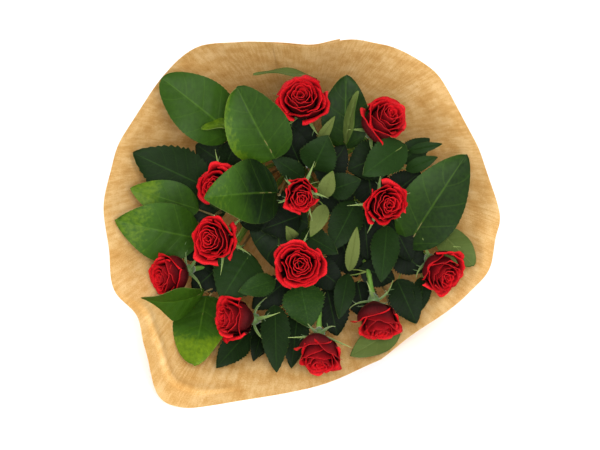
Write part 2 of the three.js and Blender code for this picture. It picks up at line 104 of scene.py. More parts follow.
def surface(points, wrap=False, caps=False, slot=0, **attributes):
    """A patch from rows x columns of points: quads between neighbours, joined round if it wraps, with a fan
    from a middle point over each end if it has caps. Its faces point along column step x row step."""
    rows, columns = points.shape[:2]
    index = np.arange(rows * columns).reshape(rows, columns)
    if wrap:
        index = np.hstack([index, index[:, :1]])
    quads = np.stack([index[:-1, :-1], index[:-1, 1:], index[1:, 1:], index[1:, :-1]], axis=-1).reshape(-1, 4)
    uv = np.stack(np.meshgrid(np.linspace(0, 1, rows), np.linspace(0, 1, columns), indexing="ij"), axis=-1)
    values = {k: np.broadcast_to(v, (rows, columns)).reshape(-1) for k, v in attributes.items()}
    patch = {"points": points.reshape(-1, 3), "quads": quads, "triangles": np.zeros((0, 3), int),
             "uv": uv.reshape(-1, 2), "slots": np.full(len(quads), slot), "cap_slot": slot,
             "attributes": values}
    if caps:
        middles = points[[0, -1]].mean(axis=1)
        first, last = rows * columns, rows * columns + 1
        start = np.stack([index[0, 1:], index[0, :-1], np.full(columns, first)], axis=-1)
        end = np.stack([index[-1, :-1], index[-1, 1:], np.full(columns, last)], axis=-1)
        patch["points"] = np.vstack([patch["points"], middles])
        patch["uv"] = np.vstack([patch["uv"], [[0, 0.5], [1, 0.5]]])
        patch["triangles"] = np.vstack([start, end])
        for name, value in patch["attributes"].items():
            patch["attributes"][name] = np.append(value, value[[0, -1]])
    return patch


def piece(name, patches, materials, record_slot, *nodes, bunch=True):
    """Joins patches in millimetres into one object that rides on the bunch and stands for CAD nodes."""
    sizes = [len(p["points"]) for p in patches]
    starts = np.concatenate([[0], np.cumsum(sizes)[:-1]])
    points = np.vstack([p["points"] for p in patches])
    if bunch:
        points = points @ BUNCH_AXES
    points = points * MM + TIE
    quads = np.vstack([p["quads"] + s for p, s in zip(patches, starts)])
    triangles = np.vstack([p["triangles"] + s for p, s in zip(patches, starts)])
    corners = np.concatenate([quads.reshape(-1), triangles.reshape(-1)]).astype(np.int32)
    totals = np.concatenate([np.full(len(quads), 4), np.full(len(triangles), 3)])
    mesh = bpy.data.meshes.new(name)
    mesh.vertices.add(len(points))
    mesh.vertices.foreach_set("co", points.astype(np.float32).reshape(-1))
    mesh.loops.add(len(corners))
    mesh.loops.foreach_set("vertex_index", corners)
    mesh.polygons.add(len(totals))
    mesh.polygons.foreach_set("loop_start", np.concatenate([[0], np.cumsum(totals)[:-1]]).astype(np.int32))
    for made in materials:
        mesh.materials.append(made)
    caps = np.concatenate([np.full(len(p["triangles"]), p["cap_slot"]) for p in patches])
    slots = np.concatenate([p["slots"] for p in patches] + [caps]).astype(np.int32)
    mesh.polygons.foreach_set("material_index", slots)
    mesh.update(calc_edges=True)
    mesh.validate()
    uv = np.vstack([p["uv"] for p in patches])
    layer = mesh.uv_layers.new(name="UVMap")
    layer.data.foreach_set("uv", uv[corners].astype(np.float32).reshape(-1))
    for key in sorted({k for p in patches for k in p["attributes"]}):
        values = np.concatenate([p["attributes"].get(key, np.zeros(n)) for p, n in zip(patches, sizes)])
        mesh.attributes.new(key, "FLOAT", "POINT").data.foreach_set("value", values.astype(np.float32))
    mesh.polygons.foreach_set("use_smooth", np.ones(len(totals), bool))
    mesh.set_sharp_from_angle(angle=np.radians(55))
    made = bpy.data.objects.new(name, mesh)
    bpy.context.scene.collection.objects.link(made)
    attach(made, "root")
    if nodes:
        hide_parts(*nodes)
    return made


def tube(points, radius, sides=12, caps=True, slot=0, **attributes):
    """A round tube: a circle carried square to the path, its first spoke turned along so that it never
    twists. radius may change from point to point."""
    ahead = unit(np.gradient(points, axis=0))
    spokes = np.empty_like(points)
    spoke = unit(np.cross(ahead[0], [0.3, 0.9, 0.2]))
    for i, way in enumerate(ahead):        # carries the spoke along the path
        spoke = unit(spoke - way * np.dot(spoke, way))
        spokes[i] = spoke
    others = np.cross(ahead, spokes)
    angle = np.linspace(0, 2 * np.pi, sides, endpoint=False)[None, :, None]
    rings = np.cos(angle) * spokes[:, None] + np.sin(angle) * others[:, None]
    radii = np.broadcast_to(radius, len(points))[:, None, None]
    return surface(points[:, None] + rings * radii, wrap=True, caps=caps, slot=slot, **attributes)


# Moulded latex rubber: a dull tan skin, cloudy in patches of about 2.5 mm.
rubber, tree, shader = material("tan_latex_rubber", Roughness=0.62)
mottle = add(tree, "ShaderNodeTexNoise", {"Scale": 400.0, "Detail": 3.0})
colour = add(tree, "ShaderNodeValToRGB", {"Fac": mottle.outputs["Fac"]}, [(0.3, "#A8793A"), (0.7, "#C79A55")])
tree.links.new(colour.outputs["Color"], shader.inputs["Base Color"])

BAND_RADIUS = 15.9                         # of the band's middle, pressed a little out of round by the stems
BAND_THICKNESS = 1.7
BAND_HALF_WIDTH = 1.9                      # how far its two turns lie from the middle of the pair
turns = np.linspace(0, 4 * np.pi, 120, endpoint=False)[:, None]
band_path = (np.cos(turns) * ACROSS + np.sin(turns) * UP) * (BAND_RADIUS + 0.15 * np.sin(6 * turns))
band_path += BAND_HALF_WIDTH * np.cos(turns / 2) * AXIS
band = tube(np.vstack([band_path, band_path[:1]]), BAND_THICKNESS / 2, 10)
piece("rubber_band", [band], [rubber], "rubber_band", "stem_band")


# ---- Rose stems ----
# Twelve cut canes about 4.6 mm thick, smooth and waxy, green flushed with red, with prickles and leaf joints.
# They lie parallel through the band in a hexagonal packing with the salal stems and fan out to their blooms.

rng = np.random.default_rng(12)
STEM_PITCH = 6                             # distance between neighbours in the band
STEM_BEHIND = 132                          # length of stem behind the band
STEM_SPLAY = 1.55                          # spread of the cut ends, as a multiple of that in the band
STEM_STRAIGHT = 16                         # stems run straight this far on each side of the band
STEM_TOP_STRAIGHT = 32                     # and this far below their tops
CANE_STEPS = 90
ROSE_STEM_RADIUS = 2.3
HIP_HEIGHT = 9
BLOOM_HEIGHT = 1.85                        # of a bloom, as a multiple of its radius
GAP = 0.4
# Place in the band (ring, degrees), the way the bloom faces, its radius and how far its sepals bend back.
ROSES = [
    ((2, 90), (0, 0.25, 0.97), 23, 20), ((2, 30), (0.45, 0.4, 0.8), 22, 0),
    ((2, 150), (-0.3, -0.1, 0.95), 19, 5), ((1, 60), (0, -0.2, 0.98), 16, 5),
    ((1, 0), (0.2, 0, 0.98), 20, 0), ((1, 180), (-0.25, 0, 0.97), 22, 10),
    ((0, 0), (0.05, 0, 1), 22.5, 5), ((2, 210), (-0.72, -0.15, 0.68), 20.5, 15),
    ((2, 330), (0.4, -0.4, 0.82), 21, 0), ((1, 240), (-0.8, 0.1, 0.6), 20.5, 5),
    ((1, 300), (0.15, -0.82, 0.55), 21, 0), ((2, 270), (0, -0.72, 0.69), 21, 0),
]


def bloom_bottom(name, faces, radius):
    """The bottom of a bloom, in the bunch's axes in millimetres: the middle of its CAD box moved back by half
    its height along the way it faces."""
    middle = np.mean(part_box(f"{name}_bloom"), axis=0)
    return BUNCH_AXES @ (middle - TIE) / MM - faces * radius * BLOOM_HEIGHT / 2


def between(a, b, c, d, share):
    """A centripetal Catmull-Rom cubic at shares of the way from b to c: its slopes at b and c come from the
    spacing of the four points, to the power of a half."""
    s = share[:, None]
    before, span, after = (np.sqrt(np.linalg.norm(step, axis=1))[:, None] for step in (b - a, c - b, d - c))
    slope_b = ((b - a) / before - (c - a) / (before + span) + (c - b) / span) * span
    slope_c = ((c - b) / span - (d - b) / (span + after) + (d - c) / after) * span
    return ((2 * s**3 - 3 * s**2 + 1) * b + (s**3 - 2 * s**2 + s) * slope_b
            + (3 * s**2 - 2 * s**3) * c + (s**3 - s**2) * slope_c)


def curve(points, steps):
    """An open curve through the points, with its end points mirrored."""
    p = np.asarray(points, float)
    p = np.vstack([2 * p[0] - p[1], p, 2 * p[-1] - p[-2]])
    where = np.linspace(0, len(points) - 1, steps)
    i = np.minimum(where.astype(int), len(points) - 2)
    return between(p[i], p[i + 1], p[i + 2], p[i + 3], where - i)


def band_offset(place):
    """Where a stem passes through the band: its ring and direction in a hexagonal packing of 1 + 6 + 12."""
    ring, degrees = place
    distance = STEM_PITCH * ring * (1 if degrees % 60 == 0 else np.sqrt(3) / 2)
    return distance * (np.cos(np.radians(degrees)) * ACROSS + np.sin(np.radians(degrees)) * UP)


def stem_route(place, top, top_way):
    """Points of a stem from its cut end, through its place in the band, to its top."""
    offset = band_offset(place)
    behind, ahead = offset - STEM_STRAIGHT * AXIS, offset + STEM_STRAIGHT * AXIS
    under = top - STEM_TOP_STRAIGHT * top_way
    cut_end = STEM_SPLAY * offset - STEM_BEHIND * AXIS
    return np.array([cut_end, behind, ahead, (ahead + under) / 2, under, top])


# Living cane under a thin wax: a mild gloss on green, with flushes of red about 11 mm long.
cane, tree, shader = material("green_rose_cane", Roughness=0.42, Specular_IOR_Level=0.4)
flush = add(tree, "ShaderNodeTexNoise", {"Scale": 90.0, "Detail": 4.0})
colour = add(tree, "ShaderNodeValToRGB", {"Fac": flush.outputs["Fac"]},
             [(0.35, "#4F7A2C"), (0.55, "#5E8434"), (0.75, "#7A6A35")])
tree.links.new(colour.outputs["Color"], shader.inputs["Base Color"])

# Freshly cut pith: pale, dull and speckled by its fibre ends, drawn coarse at 0.7 mm so that they show.
pith, tree, shader = material("cut_pith", Roughness=0.8)
fibres = add(tree, "ShaderNodeTexNoise", {"Scale": 1500.0})
colour = add(tree, "ShaderNodeValToRGB", {"Fac": fibres.outputs["Fac"]}, [(0.3, "#B9B77A"), (0.7, "#DAD8A8")])
tree.links.new(colour.outputs["Color"], shader.inputs["Base Color"])

for number, (place, faces, radius, bent) in enumerate(ROSES, start=1):
    name = f"rose_{number:02d}"
    faces = unit(np.array(faces, float))
    top = bloom_bottom(name, faces, radius) - faces * (HIP_HEIGHT + GAP)
    path = curve(stem_route(place, top, faces), CANE_STEPS)
    joints = rng.uniform(0.25, 0.9, 5)[:, None]
    along = np.linspace(0, 1, CANE_STEPS)
    girth = ROSE_STEM_RADIUS + 0.5 * np.exp(-((along - joints) / 0.008) ** 2).sum(axis=0)
    girth[-6:] *= np.linspace(1, 1.25, 6)      # the cane swells where it meets the hip
    patches = [tube(path, girth)]
    patches[0]["cap_slot"] = 1
    for spot in rng.uniform(0.02, 0.8, 9):
        i = int(spot * (CANE_STEPS - 1))
        way = unit(path[i + 1] - path[i])
        out = unit(np.cross(way, rng.normal(size=3)))
        tip = path[i] + out * 6.2 - way * 1.6
        steps = np.linspace(0, 1, 5)[:, None]
        thorn = path[i] + (tip - path[i]) * steps + way * 0.8 * np.sin(np.pi * steps)
        patches.append(tube(thorn, np.array([1.6, 1.5, 1.0, 0.55, 0.12]), 6))
    piece(f"{name}_cane", patches, [cane, pith], "rose_stem", f"{name}_stem")


# ---- Calyxes ----
# The green hip under each bloom and its five sepals, which grew as one piece: thin, pointed, slightly downy
# leaves that bend back as the bloom opens, with a few hair-like side lobes.

SEPAL_LENGTH = 27
HIP_RADIUS = 5.5


def plate(points, thickness, face=0, back=1, uv=None, **attributes):
    """A closed thin plate: the mid-surface moved half the thickness each way along its normal, which is the
    cross product of its column and row steps, and a strip round the edge. face looks along that normal."""
    rows, columns = points.shape[:2]
    normal = unit(np.cross(np.gradient(points, axis=1), np.gradient(points, axis=0)))
    half = normal * thickness / 2
    top = surface(points + half, slot=face, **attributes)
    bottom = surface(points - half, slot=back, **attributes)
    count = rows * columns
    index = np.arange(count).reshape(rows, columns)
    loop = np.concatenate([index[0, :-1], index[:-1, -1], index[-1, :0:-1], index[:0:-1, 0]])
    after = np.roll(loop, -1)
    edge = np.stack([after, loop, loop + count, after + count], axis=-1)
    quads = np.vstack([top["quads"], bottom["quads"][:, ::-1] + count, edge])
    slots = np.concatenate([top["slots"], bottom["slots"], np.full(len(edge), back)])
    flat = top["uv"] if uv is None else uv.reshape(-1, 2)
    return {"points": np.vstack([top["points"], bottom["points"]]), "quads": quads, "slots": slots,
            "triangles": np.zeros((0, 3), int), "cap_slot": face, "uv": np.vstack([flat, flat]),
            "attributes": {k: np.tile(v, 2) for k, v in top["attributes"].items()}}


def bloom_axes(faces):
    """Two directions square to the way a bloom faces, and that way."""
    side = unit(np.cross([0, 1, 0.01], faces))
    return np.array([side, np.cross(faces, side), faces])


def ribbon(spine, flat, half_width, thickness, face=0, back=1, columns=5, cup=0.0):
    """A narrow plate along a spine: columns spread sideways by the half width and raised by cup x share^2."""
    ahead = unit(np.gradient(spine, axis=0))
    side = unit(np.cross(ahead, flat))
    up = np.cross(side, ahead)
    share = np.linspace(-1, 1, columns)[None, :, None]
    width = np.maximum(half_width, 0.12)[:, None, None]
    points = spine[:, None] + side[:, None] * share * width + up[:, None] * cup * width * share**2
    return plate(points, thickness, face, back, tone=np.linspace(0, 1, len(spine))[:, None])


# Sepal skin: green with a fine pale down, which gives a soft sheen and gets lighter towards the tip.
sepal, tree, shader = material("downy_sepal", Roughness=0.6, Sheen_Weight=0.25, Sheen_Roughness=0.5)
tone = add(tree, "ShaderNodeAttribute", attribute_name="tone")
patchy = add(tree, "ShaderNodeTexNoise", {"Scale": 260.0, "Detail": 3.0})    # 4 mm patches of lighter down
level = add(tree, "ShaderNodeMath", {0: patchy.outputs["Fac"], 1: tone.outputs["Fac"], 2: 0.1},
            operation="MULTIPLY_ADD")
colour = add(tree, "ShaderNodeValToRGB", {"Fac": level.outputs[0]},
             [(0.1, "#3F5A22"), (0.45, "#6B8038"), (0.8, "#98A45C")])
tree.links.new(colour.outputs["Color"], shader.inputs["Base Color"])

for number, (place, faces, radius, bent) in enumerate(ROSES, start=1):
    name = f"rose_{number:02d}"
    axes = bloom_axes(unit(np.array(faces, float)))
    bottom = bloom_bottom(name, axes[2], radius)
    heights = np.linspace(-HIP_HEIGHT - 0.3, 1.0, 14)
    share = np.linspace(0, 1, 14)
    hip_radius = HIP_RADIUS * (0.48 + 0.55 * np.sin(np.pi * np.minimum(share * 0.75, 1)) ** 1.2)
    patches = [tube(bottom + heights[:, None] * axes[2], hip_radius, 16)]
    for i in range(5):
        turn = np.radians(72 * i + 25 * (number - 1)) + rng.normal(0, 0.12)
        out = np.cos(turn) * axes[0] + np.sin(turn) * axes[1]
        droop = np.radians(bent + rng.uniform(-12, 10))
        length = SEPAL_LENGTH * rng.uniform(0.75, 1.15)
        s = np.linspace(0, 1, 16)[:, None]
        bend = droop + s * rng.uniform(-0.5, 0.7)
        spine = bottom + out * (4 + length * s * np.cos(bend)) - axes[2] * (1.5 + length * s * np.sin(bend))
        spine = spine + rng.uniform(-6, 6) * s**2 * np.cross(out, axes[2])
        shape = 1.9 * (1 - s[:, 0]) ** 0.9 * (0.7 + 0.5 * np.sin(np.pi * s[:, 0] ** 0.7))
        patches.append(ribbon(spine, axes[2], shape, 0.5, cup=0.35))
        for k, hand in ((5, 1), (7, -1), (9, 1)):
            if rng.random() < 0.55:
                reach = np.linspace(0, 1, 6)[:, None]
                way = unit(hand * np.cross(out, axes[2]) + 1.1 * out)
                lobe = spine[k] + way * reach * rng.uniform(4, 7) - axes[2] * 0.8 * reach**2
                patches.append(tube(lobe, np.linspace(0.55, 0.15, 6), 5))
    piece(f"{name}_hip_and_sepals", patches, [sepal, sepal], "sepal", f"{name}_calyx")


# ---- Blooms ----
# Half-open hybrid tea roses: 17 or 20 velvety petals on a golden-angle spiral. The inner ones are rolled
# tight, the outer ones open and curl back at the lip. Faces are bright red, backs a duller crimson.

GOLDEN = np.pi * (3 - np.sqrt(5))


def petal_material(name, low, painted_shade_deep, middle, bright, edge):
    """Velvet: a soft sheen over red with fine lengthwise veins. The red is painted darker towards the base of
    the
    petal, to near black: painted shade deep in the bloom. It is also a little darker at the petal's very lip."""
    made, tree, shader = material(name, Roughness=0.6, Sheen_Weight=0.06, Sheen_Roughness=0.4,
                                  Sheen_Tint=srgb("#FF3030"), Specular_IOR_Level=0.12)
    lip = add(tree, "ShaderNodeAttribute", attribute_name="lip")
    uv = add(tree, "ShaderNodeUVMap", uv_map="UVMap")
    stretch = add(tree, "ShaderNodeMapping", {"Vector": uv.outputs["UV"], "Scale": (3.0, 26.0, 1.0)})
    vein = add(tree, "ShaderNodeTexNoise", {"Vector": stretch.outputs["Vector"], "Scale": 2.0, "Detail": 4.0})
    shift = add(tree, "ShaderNodeMath", {0: vein.outputs["Fac"], 1: 0.34, 2: -0.17}, operation="MULTIPLY_ADD")
    total = add(tree, "ShaderNodeMath", {0: lip.outputs["Fac"], 1: shift.outputs[0]}, operation="ADD")
    colour = add(tree, "ShaderNodeValToRGB", {"Fac": total.outputs[0]},
                 [(0.25, low), (0.58, painted_shade_deep), (0.8, middle), (0.92, bright), (1.0, edge)])
    tree.links.new(colour.outputs["Color"], shader.inputs["Base Color"])
    bump = add(tree, "ShaderNodeBump", {"Height": vein.outputs["Fac"], "Strength": 0.5, "Distance": 0.0006})
    tree.links.new(bump.outputs["Normal"], shader.inputs["Normal"])
    return made


# Red velvet on the face of a petal; its back is a duller crimson. In both, the two darkest colours are
# painted shade towards the base of the petal, and the last is the petal's darker very lip.
petal_face = petal_material("red_velvet_petal_face", "#0A0102", "#3C0206", "#960810", "#C6111A", "#8E0A11")
petal_back = petal_material("crimson_petal_back", "#200204", "#50080D", "#780B12", "#940F17", "#5C080D")


# How far each bloom's bud stands off its middle (across, up, in mm), where the guard petals opened unevenly.
BUD_SHIFTS = [(-3, 3), (2, 2), (-2, -2), (0, -2.5), (1, -1), (-3, 1), (1, -1), (-1, -2), (1, -3), (-1, -1),
              (1, -2), (0, -1)]


def petal(radius, tall, place, turn, opening, shift, wobble):
    """One petal in cylindrical coordinates about the bloom's axis; place runs from 0 at the heart to 1
    outside. Up the petal the radius swells from the base to its own ring. An inner petal then closes over the
    heart, and an outer one rolls out and down and ends in a soft point. Its top edge is lower at the sides,
    one side is tucked further in than the other, and low waves run round the lip."""
    s, t = np.meshgrid(np.linspace(0, 1, 18), np.linspace(-1, 1, 21), indexing="ij")
    ring = radius * (0.045 + 0.74 * place**0.92) * rng.uniform(0.92, 1.06)
    spread = 2.15 - 1.2 * place**0.6 + rng.uniform(-0.1, 0.1)
    angle = turn + t * spread * (0.4 + 0.6 * np.sin(np.pi / 2 * np.minimum(s / 0.7, 1)) ** 0.9)
    curl = np.clip((s - 0.7) / 0.3, 0, 1)
    roll = radius * (0.03 + 0.19 * place**1.25) * opening * (1 + 0.1 * t**2)
    swell = np.sin(np.pi / 2 * np.minimum(s / 0.58, 1)) ** 0.85
    close = 1 - 0.42 * (1 - place) ** 1.5 * np.clip((s - 0.5) / 0.5, 0, 1) ** 1.5
    waves = np.sin(2.6 * t + wobble[3]) + 0.7 * np.sin(6.5 * t + wobble[4])
    waves = waves + 0.3 * np.sin(14 * t + 4 * wobble[3])
    tuck = 1 + 0.075 * t * (1 - 0.5 * place)
    out = radius * 0.1 + (ring - radius * 0.1 * (1 - place)) * swell * close * tuck
    out = out + roll * curl**1.7 + (0.5 + 0.85 * place) * waves * curl**1.3
    out = out * (1 + 0.05 * np.sin(2 * angle + wobble[0]) + 0.04 * np.sin(3 * angle + wobble[1])
                 + 0.025 * np.sin(5 * angle + wobble[2]))
    rise = tall * (0.84 + 0.13 * np.sin(np.pi * min(place * 0.85 + 0.12, 1)) - 0.1 * opening * place**2)
    rise = rise * rng.uniform(0.97, 1.03)
    up = rise * s * (1 - (0.08 + 0.2 * place) * np.abs(t) ** 2.4 * s**2) - 0.72 * roll * curl**2.6
    up = up + (0.3 + 0.8 * place) * np.cos(1.3 * waves + t) * curl**2
    point = np.exp(-(t / 0.14) ** 2) * curl**2 * (0.4 + 1.5 * place)
    out, up = out + 0.7 * point, up + 0.25 * point
    points = np.stack([out * np.cos(angle), out * np.sin(angle), up], axis=-1)
    points[..., :2] += np.array(shift) * ((1 - place**2) * swell)[..., None]
    # lip runs from 0 at the base of the petal to 1 at its lip; the petal materials paint shade by it, darkest
    # at the base.
    lip = np.clip(s**1.5 * (0.9 + 0.1 * place) + rng.normal(0, 0.03), 0, 1)
    return points, lip


for number, (place, faces, radius, bent) in enumerate(ROSES, start=1):
    name = f"rose_{number:02d}"
    axes = bloom_axes(unit(np.array(faces, float)))
    tall = radius * BLOOM_HEIGHT
    bottom = bloom_bottom(name, axes[2], radius)
    count = 20 if radius > 19.5 else 17
    twist = rng.uniform(0, 2 * np.pi)
    openness = rng.uniform(0.75, 1.0) if radius > 18 else 0.75
    shape = rng.uniform(0, 2 * np.pi, 3)
    across, up_face = BUD_SHIFTS[number - 1]
    shift = axes[:2] @ np.array([across, up_face, 0.0])
    patches = []
    for k in range(count):
        share = (k + 0.3) / (count - 0.7)
        opening = openness * rng.uniform(0.75, 1.2)
        wobble = np.concatenate([shape, rng.uniform(0, 2 * np.pi, 2)])
        turn = twist + k * GOLDEN + rng.uniform(-0.25, 0.25)
        points, lip = petal(radius, tall, share, turn, opening, shift, wobble)
        patches.append(plate(bottom + points @ axes, 0.4, face=1, back=0, lip=lip))
    piece(f"{name}_petals", patches, [petal_face, petal_back], "petal", f"{name}_bloom")


# ---- Rose leaves ----
# Compound leaves, each of a few leaflets on one stalk that grew from a cane: dark, matt, saw-edged leaflets
# with a sunk midrib, paler and greyer below.

LEAF_THICKNESS = 0.45
# The rose it grew on, the share of its cane where it joined, and each leaflet's base, tip, width and painted
# light, from 0 for painted shade to 1 for painted light; a leaflet at 1 also shows its pale underside.
ROSE_LEAVES = [
    (3, 0.78, [((-87, -42, 223), (-160, -8, 247), 52, 0.2), ((-72, -18, 218), (-60, 9, 228), 24, 0.1),
               ((-70, -20, 212), (-102, 2, 214), 34, 0.1)]),
    (1, 0.82, [((4, -32, 236), (-27, -12, 252), 20, 0.2), ((2, -22, 228), (-18, 22, 242), 30, 0),
               ((12, -24, 248), (27, 7, 272), 36, 0.3), ((18, 2, 244), (33, 26, 262), 10, 1),
               ((-4, -14, 226), (-10, 38, 232), 46, 0)]),
    (2, 0.84, [((100, 0, 250), (59, -30, 268), 34, 0.45), ((104, -6, 248), (135, 0, 258), 10, 0.3),
               ((102, -24, 242), (131, -12, 254), 14, 0.4), ((84, -8, 236), (46, -24, 240), 40, 0.1),
               ((98, -16, 238), (124, 6, 246), 24, 0.2)]),
    (2, 0.68, [((52, -12, 226), (90, -12, 234), 26, 0), ((66, -22, 226), (70, -62, 232), 40, 0)]),
    (4, 0.86, [((22, -50, 254), (31, -26, 266), 16, 1), ((24, -58, 256), (10, -88, 268), 16, 1),
               ((28, -44, 246), (58, -34, 258), 26, 0.2), ((20, -36, 234), (44, 0, 240), 30, 0),
               ((0, -68, 230), (-38, -82, 238), 32, 0), ((22, -40, 222), (52, -66, 226), 36, 0)]),
    (5, 0.86, [((54, -54, 240), (29, -101, 260), 32, 0.2), ((84, -78, 236), (77, -131, 260), 28, 0.3),
               ((88, -72, 228), (108, -112, 232), 28, 0), ((86, -50, 230), (116, -26, 238), 30, 0),
               ((62, -62, 226), (66, -112, 230), 34, 0)]),
    (7, 0.86, [((2, -84, 244), (36, -104, 266), 24, 0.2), ((-6, -90, 246), (-13, -78, 262), 12, 1),
               ((8, -112, 236), (42, -138, 242), 30, 0), ((34, -80, 216), (56, -128, 218), 38, 0)]),
    (7, 0.78, [((0, -134, 248), (9, -174, 264), 40, 0.5), ((-24, -130, 250), (-58, -140, 268), 22, 0.5),
               ((-12, -130, 230), (-46, -158, 236), 30, 0)]),
    (6, 0.84, [((-48, -104, 238), (-75, -148, 254), 50, 0.35), ((-56, -78, 228), (-24, -52, 236), 32, 0)]),
    (10, 0.84, [((-50, -180, 240), (-79, -211, 269), 27, 0.15), ((-37, -180, 240), (-44, -206, 262), 16, 0),
                ((-32, -166, 228), (-40, -204, 240), 26, 0)]),
    (12, 0.8, [((-24, -154, 246), (-22, -215, 276), 28, 0.2), ((-2, -160, 240), (-8, -212, 266), 26, 0.1),
               ((26, -138, 228), (36, -184, 234), 36, 0)]),
    (11, 0.84, [((47, -121, 248), (54, -79, 260), 13, 1), ((46, -124, 244), (37, -166, 260), 20, 0.2),
                ((58, -118, 230), (92, -130, 226), 28, 0), ((56, -132, 219), (63, -168, 224), 32, 0)]),
    (9, 0.84, [((94, -130, 228), (112, -172, 240), 32, 0.1), ((119, -128, 226), (116, -160, 240), 18, 0.1),
               ((92, -100, 220), (122, -122, 226), 34, 0)]),
    (8, 0.8, [((-72, -112, 222), (-104, -140, 234), 38, 0), ((-80, -98, 220), (-128, -98, 228), 30, 0)]),
]


def blade(leaf, rows, columns, teeth, depth, slots=(0, 1)):
    """A leaf's plate. Its spine is straight from base to tip plus a bow. Its half width is a skewed sine of
    the length, cut into forward-leaning teeth, its halves rise by the fold, and its margins wave gently."""
    base, tip = np.array(leaf["base"], float), np.array(leaf["tip"], float)
    along = unit(tip - base)
    out = np.array([0, 0, 1.0])
    normal = unit(out - along * np.dot(out, along))
    roll = np.radians(leaf.get("roll", 0))
    normal = normal * np.cos(roll) + np.cross(along, normal) * np.sin(roll)
    side = np.cross(along, normal)
    s, t = np.meshgrid(np.linspace(0, 1, rows), np.linspace(-1, 1, columns), indexing="ij")
    outline = np.maximum(np.sin(np.pi * s**0.8), 0) ** leaf.get("round", 0.75)
    tooth = (s * teeth) % 1
    half = leaf["width"] / 2 * np.maximum(outline * (1 + depth * (tooth - 0.5) * np.abs(t) ** 6), 0.012)
    phase = leaf["seed"] * 2.4
    wave = np.sin(2 * np.pi * (1.6 * s + 0.2 * np.sign(t)) + phase) * t**2 * leaf["width"] * 0.045
    raised = leaf.get("bow", 4) * 4 * s * (1 - s) + leaf.get("fold", 0.15) * np.abs(t) * half + wave
    quilt = -0.012 * leaf["width"] * np.abs(np.sin(np.pi * (6 * s - 1.3 * np.abs(t)))) * (1 - t**2) * outline
    crease = -0.5 * np.exp(-(t / 0.07) ** 2) * outline
    points = base + (tip - base) * s[..., None] + side * (t * half)[..., None]
    points = points + normal * (raised + quilt + crease)[..., None]
    # Painted light and shade: the listed value, raised on the left or right half and towards the tip, paints
    # the green brighter where light falls and darker where shade lies.
    light = leaf["light"] + leaf.get("left", 0) * np.clip(t, 0, 1) + leaf.get("right", 0) * np.clip(-t, 0, 1)
    further = np.clip((s - 0.35) / 0.4, 0, 1)
    light = np.clip(light + leaf.get("at_tip", 0) * further**2 * (3 - 2 * further), 0, 1)
    return plate(points, LEAF_THICKNESS, slots[0], slots[1], light=light), points


def leaf_material(name, dark, middle, bright, rib, veins, **values):
    """A leaf's skin: green from dark to bright by its attribute of painted light and shade, dark where shade
    lies and bright where light falls, and by cloudy noise, with a paler midrib and side veins drawn from the
    leaf's own length and width."""
    made, tree, shader = material(name, **values)
    uv = add(tree, "ShaderNodeUVMap", uv_map="UVMap")
    split = add(tree, "ShaderNodeSeparateXYZ", {0: uv.outputs["UV"]})
    light = add(tree, "ShaderNodeAttribute", attribute_name="light")
    across = add(tree, "ShaderNodeMath", {0: split.outputs["Y"], 1: 2.0, 2: -1.0}, operation="MULTIPLY_ADD")
    across = add(tree, "ShaderNodeMath", {0: across.outputs[0]}, operation="ABSOLUTE")
    slant = add(tree, "ShaderNodeMath", {0: across.outputs[0], 1: -0.22 * veins}, operation="MULTIPLY")
    phase = add(tree, "ShaderNodeMath", {0: split.outputs["X"], 1: veins, 2: slant.outputs[0]},
                operation="MULTIPLY_ADD")
    swing = add(tree, "ShaderNodeMath", {0: phase.outputs[0], 1: 1.0}, operation="PINGPONG")
    vein = add(tree, "ShaderNodeMapRange", {"Value": swing.outputs[0], 1: 0.0, 2: 0.1, 3: 1.0, 4: 0.0})
    midrib = add(tree, "ShaderNodeMapRange", {"Value": across.outputs[0], 1: 0.01, 2: 0.05, 3: 1.0, 4: 0.0})
    lines = add(tree, "ShaderNodeMath", {0: vein.outputs[0], 1: 0.45}, operation="MULTIPLY")
    lines = add(tree, "ShaderNodeMath", {0: lines.outputs[0], 1: midrib.outputs[0]}, operation="MAXIMUM")
    cloud = add(tree, "ShaderNodeTexNoise", {"Scale": 45.0, "Detail": 4.0})          # 2 cm clouds of tone
    level = add(tree, "ShaderNodeMath", {0: cloud.outputs["Fac"], 1: 0.3, 2: -0.15}, operation="MULTIPLY_ADD")
    level = add(tree, "ShaderNodeMath", {0: level.outputs[0], 1: light.outputs["Fac"]}, operation="ADD")
    skin = add(tree, "ShaderNodeValToRGB", {"Fac": level.outputs[0]},
               [(0.0, dark), (0.5, middle), (1.0, bright)])
    strength = add(tree, "ShaderNodeMath", {0: lines.outputs[0], 1: 0.32}, operation="MULTIPLY")
    mix = add(tree, "ShaderNodeMix", data_type="RGBA",
              inputs={"Factor": strength.outputs[0], "A": skin.outputs["Color"], "B": srgb(rib)})
    tree.links.new(mix.outputs["Result"], shader.inputs["Base Color"])
    grain = add(tree, "ShaderNodeTexNoise", {"Scale": 900.0, "Detail": 2.0})          # 1 mm pores
    height = add(tree, "ShaderNodeMath", {0: grain.outputs["Fac"], 1: 0.3, 2: lines.outputs[0]},
                 operation="MULTIPLY_ADD")
    bump = add(tree, "ShaderNodeBump", {"Height": height.outputs[0], "Strength": 0.35, "Distance": 0.0005},
               invert=True)
    tree.links.new(bump.outputs["Normal"], shader.inputs["Normal"])
    return made


# A rose leaf is matt dark green above, with hardly any shine, and a flat grey-green below.
# The darkest and brightest greens of both rose leaf skins are painted shade and painted light.
rose_leaf_top = leaf_material("rose_leaf_skin", "#060F04", "#1A300D", "#4E6A20", "#2E4C18", 14.0,
                              Roughness=0.6, Specular_IOR_Level=0.08)
rose_leaf_under = leaf_material("rose_leaf_underside", "#2C3A18", "#3C4A22", "#525C2C", "#6A7440", 14.0,
                                Roughness=0.7, Specular_IOR_Level=0.1)
